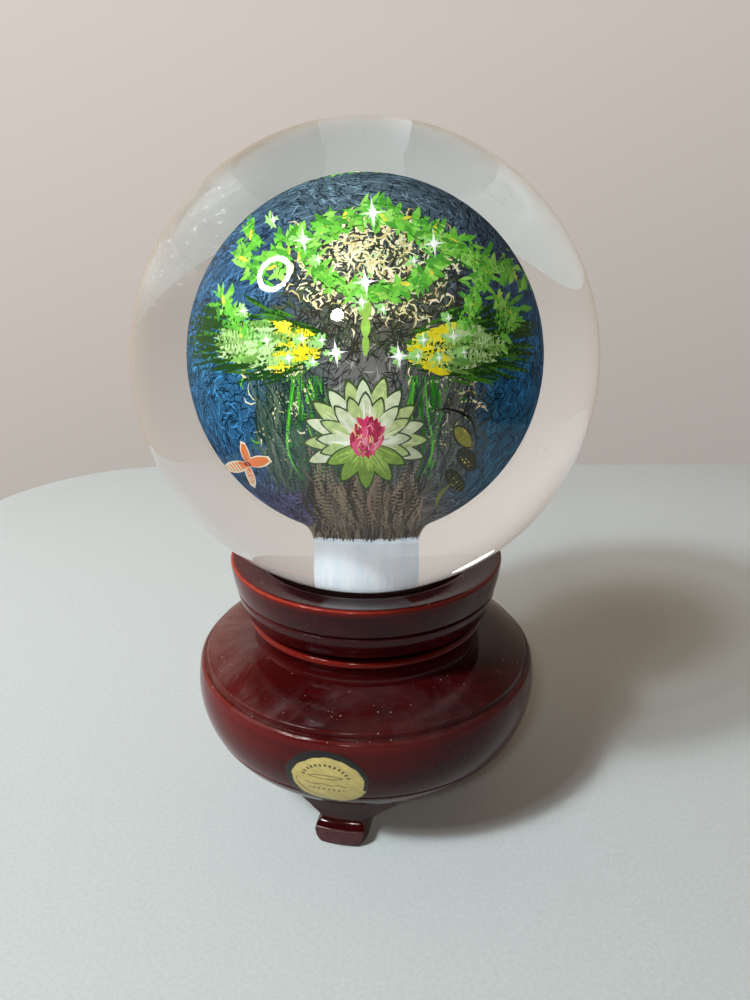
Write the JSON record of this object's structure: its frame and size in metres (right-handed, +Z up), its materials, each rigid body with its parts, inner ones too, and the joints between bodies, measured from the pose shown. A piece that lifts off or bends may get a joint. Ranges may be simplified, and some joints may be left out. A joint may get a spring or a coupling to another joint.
{
  "type": "crystal ball on a swivel stand",
  "caption": "Thick glass display ball with a painted bulb cavity, resting loose in the felt-lined cup of a turned, lacquered wooden stand whose cup swivels on carved feet.",
  "frame": {"origin": "centre of the circle of feet, on the surface that the stand rests on; the swivel axis runs up through it", "axes": "+Z up along the swivel axis and through the centre of the ball, -Y towards the front, +X to the right; the front foot and the label are turned 12 degrees from -Y towards -X"},
  "size_m": [0.127, 0.127, 0.198],
  "materials": {
    "crystal": "polished clear glass, ground flat around the neck",
    "inside_paint": "thin paint film on the wall of the cavity",
    "felt": "black felt",
    "lacquer": "dark red gloss lacquer over turned wood",
    "dowel_wood": "raw beech",
    "zinc_steel": "zinc-plated steel",
    "bearing_steel": "polished bearing steel",
    "brass": "turned brass",
    "label_paper": "gold paper with a black border"
  },
  "bodies": {
    "stand": {"body": "lacquer", "neck": "lacquer", "base_plate": "lacquer", "base_screws": "zinc_steel", "foot_front": "lacquer", "foot_right": "lacquer", "foot_left": "lacquer", "foot_dowels": "dowel_wood", "label": "label_paper", "lower_race": "zinc_steel", "pivot_bush": "brass"},
    "ball_race": {"bearing_balls": "bearing_steel", "bearing_cage": "brass"},
    "turntable": {"cup": "lacquer", "felt_ring": "felt", "pivot_bolt": "zinc_steel", "pivot_washer": "zinc_steel", "lock_nut": "zinc_steel", "upper_race": "zinc_steel"},
    "ball": {"glass_ball": "crystal", "inner_painting": "inside_paint"}
  },
  "joints": [
    {"name": "turntable_spin", "type": "hinge", "parent": "stand", "child": "turntable", "pos_m": [0, 0, 0.06], "axis": [0, 0, 1], "continuous": true},
    {"name": "race_roll", "type": "hinge", "parent": "stand", "child": "ball_race", "pos_m": [0, 0, 0.06], "axis": [0, 0, 1], "continuous": true},
    {"name": "ball_lift", "type": "slide", "parent": "turntable", "child": "ball", "axis": [0, 0, 1], "range_m": [0, 0.12]}
  ],
  "couplings": [
    {"joint": "race_roll", "follows": "turntable_spin", "ratio": 0.5}
  ]
}
